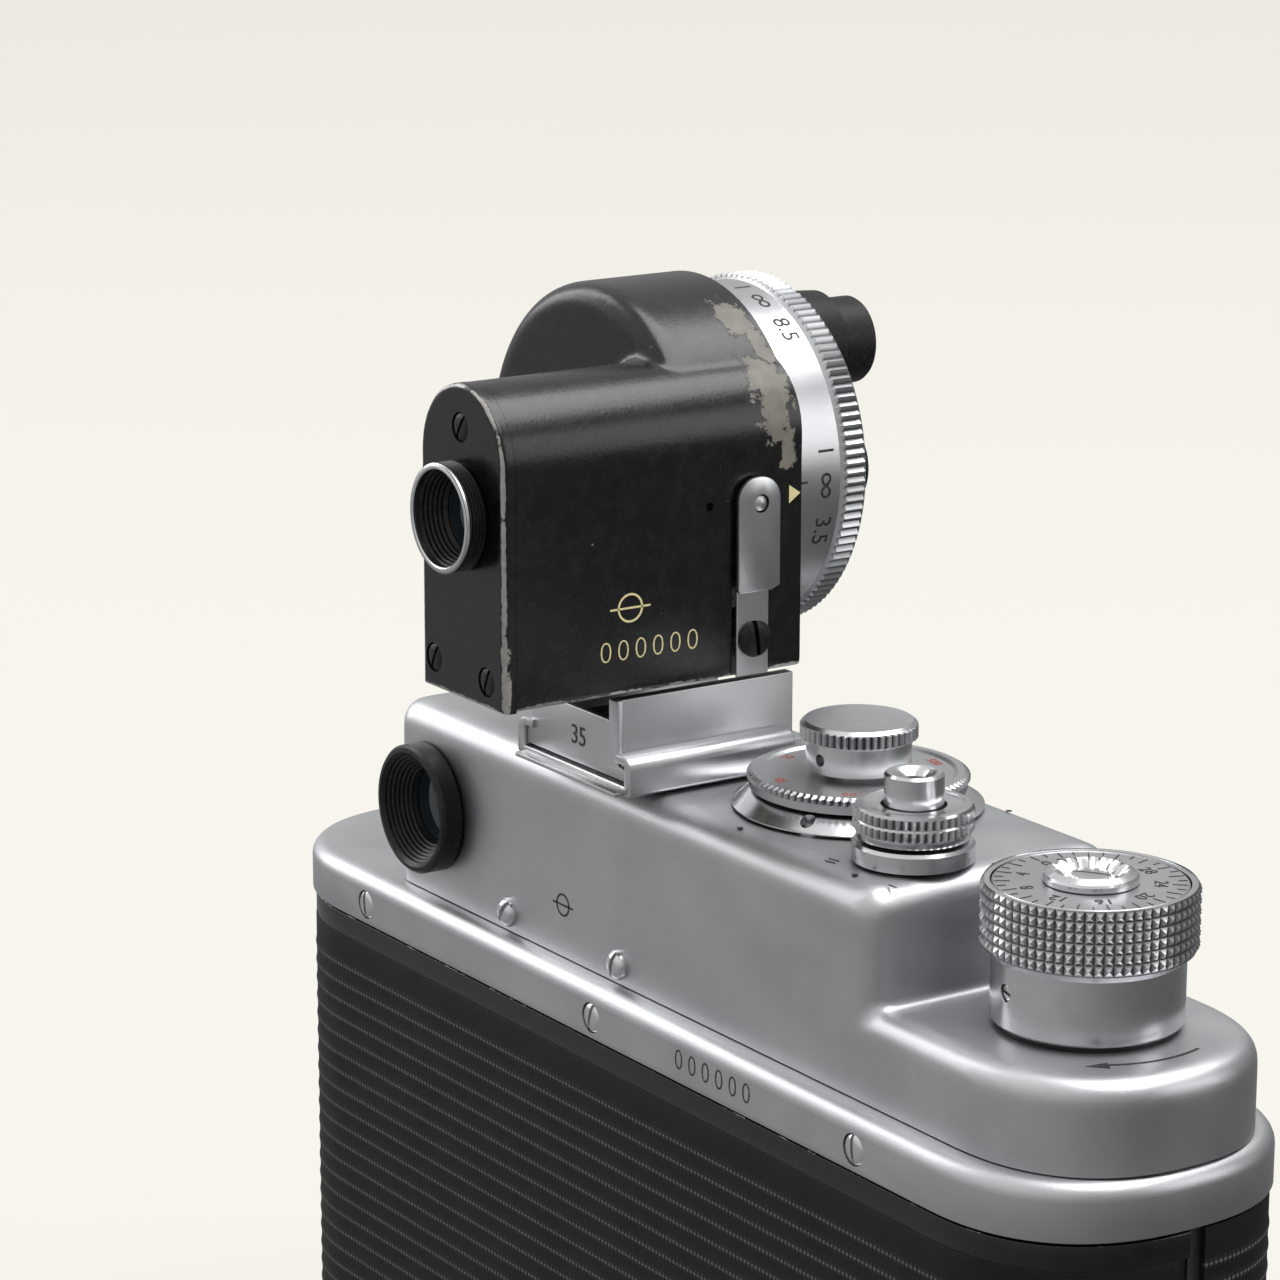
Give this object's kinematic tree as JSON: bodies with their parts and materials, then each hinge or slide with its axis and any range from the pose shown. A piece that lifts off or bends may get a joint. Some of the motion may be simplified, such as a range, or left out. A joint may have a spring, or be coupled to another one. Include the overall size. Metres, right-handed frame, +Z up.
{
  "type": "rangefinder film camera",
  "caption": "Rangefinder film camera with rounded body, stepped top housing, control knobs and a turret finder in its accessory shoe.",
  "frame": {"origin": "underside of the base plate, under the middle of the body", "axes": "+X to the rewind end, +Y out of the back towards the viewer, the lens looks along -Y, +Z up"},
  "size_m": [0.142, 0.0785, 0.133],
  "materials": {
    "satin_chrome": "satin, bead-blasted",
    "bright_chrome": "bright, machined",
    "black_enamel": "gloss enamel, worn at the edges",
    "black_anodised": "satin black",
    "black_covering": "ribbed",
    "dark_casting": "matt black",
    "optical_glass": "coated",
    "shutter_cloth": "rubberised"
  },
  "bodies": {
    "camera_body": {"chassis": "dark_casting", "shutter_curtain": "shutter_cloth", "front_covering": "black_covering", "top_deck": "satin_chrome", "top_housing": "satin_chrome", "accessory_shoe": "bright_chrome", "eyepiece_ring": "black_anodised", "eyepiece_lens": "optical_glass", "viewfinder_window": "optical_glass", "rangefinder_window": "optical_glass", "viewfinder_prism": "optical_glass", "lens_mount_ring": "satin_chrome", "lens_base": "satin_chrome", "sync_socket": "bright_chrome", "tripod_bush": "bright_chrome", "speed_dial_flange": "bright_chrome", "release_foot": "bright_chrome"},
    "wind_knob": {"wind_knob": "bright_chrome"},
    "frame_counter": {"frame_counter_dial": "satin_chrome", "counter_nut": "bright_chrome"},
    "takeup_spool": {"takeup_spool": "black_anodised"},
    "sprocket": {"sprocket_drum": "bright_chrome"},
    "rewind_sleeve": {"rewind_sleeve": "bright_chrome"},
    "rewind_knob": {"rewind_knob": "bright_chrome", "rewind_fork": "bright_chrome"},
    "dioptre_lever": {"dioptre_lever": "satin_chrome"},
    "sync_ring": {"sync_ring": "bright_chrome"},
    "speed_shaft": {"speed_shaft": "bright_chrome"},
    "speed_knob": {"speed_knob": "bright_chrome"},
    "release_collar": {"release_collar": "bright_chrome"},
    "release_button": {"release_button": "bright_chrome"},
    "focus_ring": {"focus_ring": "satin_chrome"},
    "lens_head": {"lens_head": "satin_chrome", "front_lens": "optical_glass", "rear_lens": "optical_glass"},
    "aperture_ring": {"aperture_ring": "bright_chrome"},
    "self_timer_lever": {"self_timer_lever": "bright_chrome"},
    "back_cover": {"back_cover": "black_enamel", "back_covering": "black_covering", "pressure_plate": "black_enamel", "pressure_spring": "bright_chrome"},
    "lock_left": {"lock_disc_left": "bright_chrome"},
    "lock_right": {"lock_disc_right": "bright_chrome"},
    "lock_handle_left": {"lock_handle_left": "bright_chrome"},
    "lock_handle_right": {"lock_handle_right": "bright_chrome"},
    "turret_finder": {"finder_foot": "bright_chrome", "finder_body": "black_enamel", "finder_rear_cap": "black_enamel", "finder_eyepiece": "black_anodised", "finder_eye_lens": "optical_glass", "finder_prism": "optical_glass", "turret_spindle": "bright_chrome", "detent_spring": "bright_chrome", "detent_screw": "black_anodised"},
    "finder_turret": {"turret_ring": "bright_chrome", "turret_lens_1": "black_anodised", "turret_lens_2": "black_anodised", "turret_lens_3": "black_anodised", "turret_lens_4": "black_anodised", "turret_lens_5": "black_anodised"}
  },
  "joints": [
    {"name": "wind_knob_turn", "type": "hinge", "parent": "camera_body", "child": "wind_knob", "pos_m": [-0.054, -0.0007, 0.08], "axis": [0, 0, -1], "continuous": true},
    {"name": "frame_counter_turn", "type": "hinge", "parent": "camera_body", "child": "frame_counter", "pos_m": [-0.054, -0.0007, 0.086], "axis": [0, 0, -1], "continuous": true},
    {"name": "takeup_spool_turn", "type": "hinge", "parent": "camera_body", "child": "takeup_spool", "pos_m": [-0.054, -0.0007, 0.03], "axis": [0, 0, -1], "continuous": true},
    {"name": "sprocket_turn", "type": "hinge", "parent": "camera_body", "child": "sprocket", "pos_m": [-0.027, 0.0023, 0.03], "axis": [0, 0, 1], "continuous": true},
    {"name": "rewind_lift", "type": "slide", "parent": "camera_body", "child": "rewind_sleeve", "axis": [0, 0, 1], "range_m": [0, 0.008]},
    {"name": "rewind_turn", "type": "hinge", "parent": "rewind_sleeve", "child": "rewind_knob", "pos_m": [0.056, -0.003, 0.07], "axis": [0, 0, 1], "continuous": true},
    {"name": "dioptre_turn", "type": "hinge", "parent": "camera_body", "child": "dioptre_lever", "pos_m": [0.056, -0.003, 0.065], "axis": [0, 0, 1], "range_deg": [-25, 25]},
    {"name": "sync_ring_turn", "type": "hinge", "parent": "camera_body", "child": "sync_ring", "pos_m": [-0.0163, -0.0019, 0.087], "axis": [0, 0, 1], "range_deg": [0, 90]},
    {"name": "speed_lift", "type": "slide", "parent": "camera_body", "child": "speed_shaft", "axis": [0, 0, 1], "range_m": [0, 0.0025]},
    {"name": "speed_turn", "type": "hinge", "parent": "speed_shaft", "child": "speed_knob", "pos_m": [-0.0163, -0.0019, 0.09], "axis": [0, 0, 1], "range_deg": [0, 300]},
    {"name": "rewind_release_turn", "type": "hinge", "parent": "camera_body", "child": "release_collar", "pos_m": [-0.0343, 0.0049, 0.088], "axis": [0, 0, 1], "range_deg": [0, 60]},
    {"name": "release_press", "type": "slide", "parent": "camera_body", "child": "release_button", "axis": [0, 0, -1], "range_m": [0, 0.0024], "stiffness_N_per_m": 200, "springref_m": -0.001},
    {"name": "focus_turn", "type": "hinge", "parent": "camera_body", "child": "focus_ring", "pos_m": [0, 0, 0.03095], "axis": [0, -1, 0], "range_deg": [0, 160]},
    {"name": "lens_extend", "type": "slide", "parent": "camera_body", "child": "lens_head", "axis": [0, -1, 0], "range_m": [0, 0.005]},
    {"name": "aperture_turn", "type": "hinge", "parent": "lens_head", "child": "aperture_ring", "pos_m": [0, 0, 0.03095], "axis": [0, -1, 0], "range_deg": [0, 80]},
    {"name": "self_timer_turn", "type": "hinge", "parent": "camera_body", "child": "self_timer_lever", "pos_m": [-0.04, 0, 0.04395], "axis": [0, 1, 0], "range_deg": [0, 170]},
    {"name": "back_draw", "type": "slide", "parent": "camera_body", "child": "back_cover", "axis": [0, 0, -1], "range_m": [0, 0.07]},
    {"name": "lock_left_turn", "type": "hinge", "parent": "back_cover", "child": "lock_left", "pos_m": [0.054, 0, 0.001], "axis": [0, 0, 1], "range_deg": [0, 180]},
    {"name": "lock_right_turn", "type": "hinge", "parent": "back_cover", "child": "lock_right", "pos_m": [-0.054, 0, 0.001], "axis": [0, 0, 1], "range_deg": [0, 180]},
    {"name": "lock_handle_left_fold", "type": "hinge", "parent": "lock_left", "child": "lock_handle_left", "pos_m": [0.054, 0, 0.00065], "axis": [-1, 0, 0], "range_deg": [0, 90]},
    {"name": "lock_handle_right_fold", "type": "hinge", "parent": "lock_right", "child": "lock_handle_right", "pos_m": [-0.054, 0, 0.00065], "axis": [-1, 0, 0], "range_deg": [0, 90]},
    {"name": "finder_draw", "type": "slide", "parent": "camera_body", "child": "turret_finder", "axis": [0, 1, 0], "range_m": [0, 0.026]},
    {"name": "turret_turn", "type": "hinge", "parent": "turret_finder", "child": "finder_turret", "pos_m": [0.0187, 0, 0.1137], "axis": [0, 1, 0], "continuous": true}
  ],
  "couplings": [
    {"joint": "frame_counter_turn", "follows": "wind_knob_turn", "ratio": 0.026316},
    {"joint": "takeup_spool_turn", "follows": "wind_knob_turn", "ratio": 1},
    {"joint": "sprocket_turn", "follows": "wind_knob_turn", "ratio": 1},
    {"joint": "lens_extend", "follows": "focus_turn", "m_per_rad": 0.0017904}
  ]
}
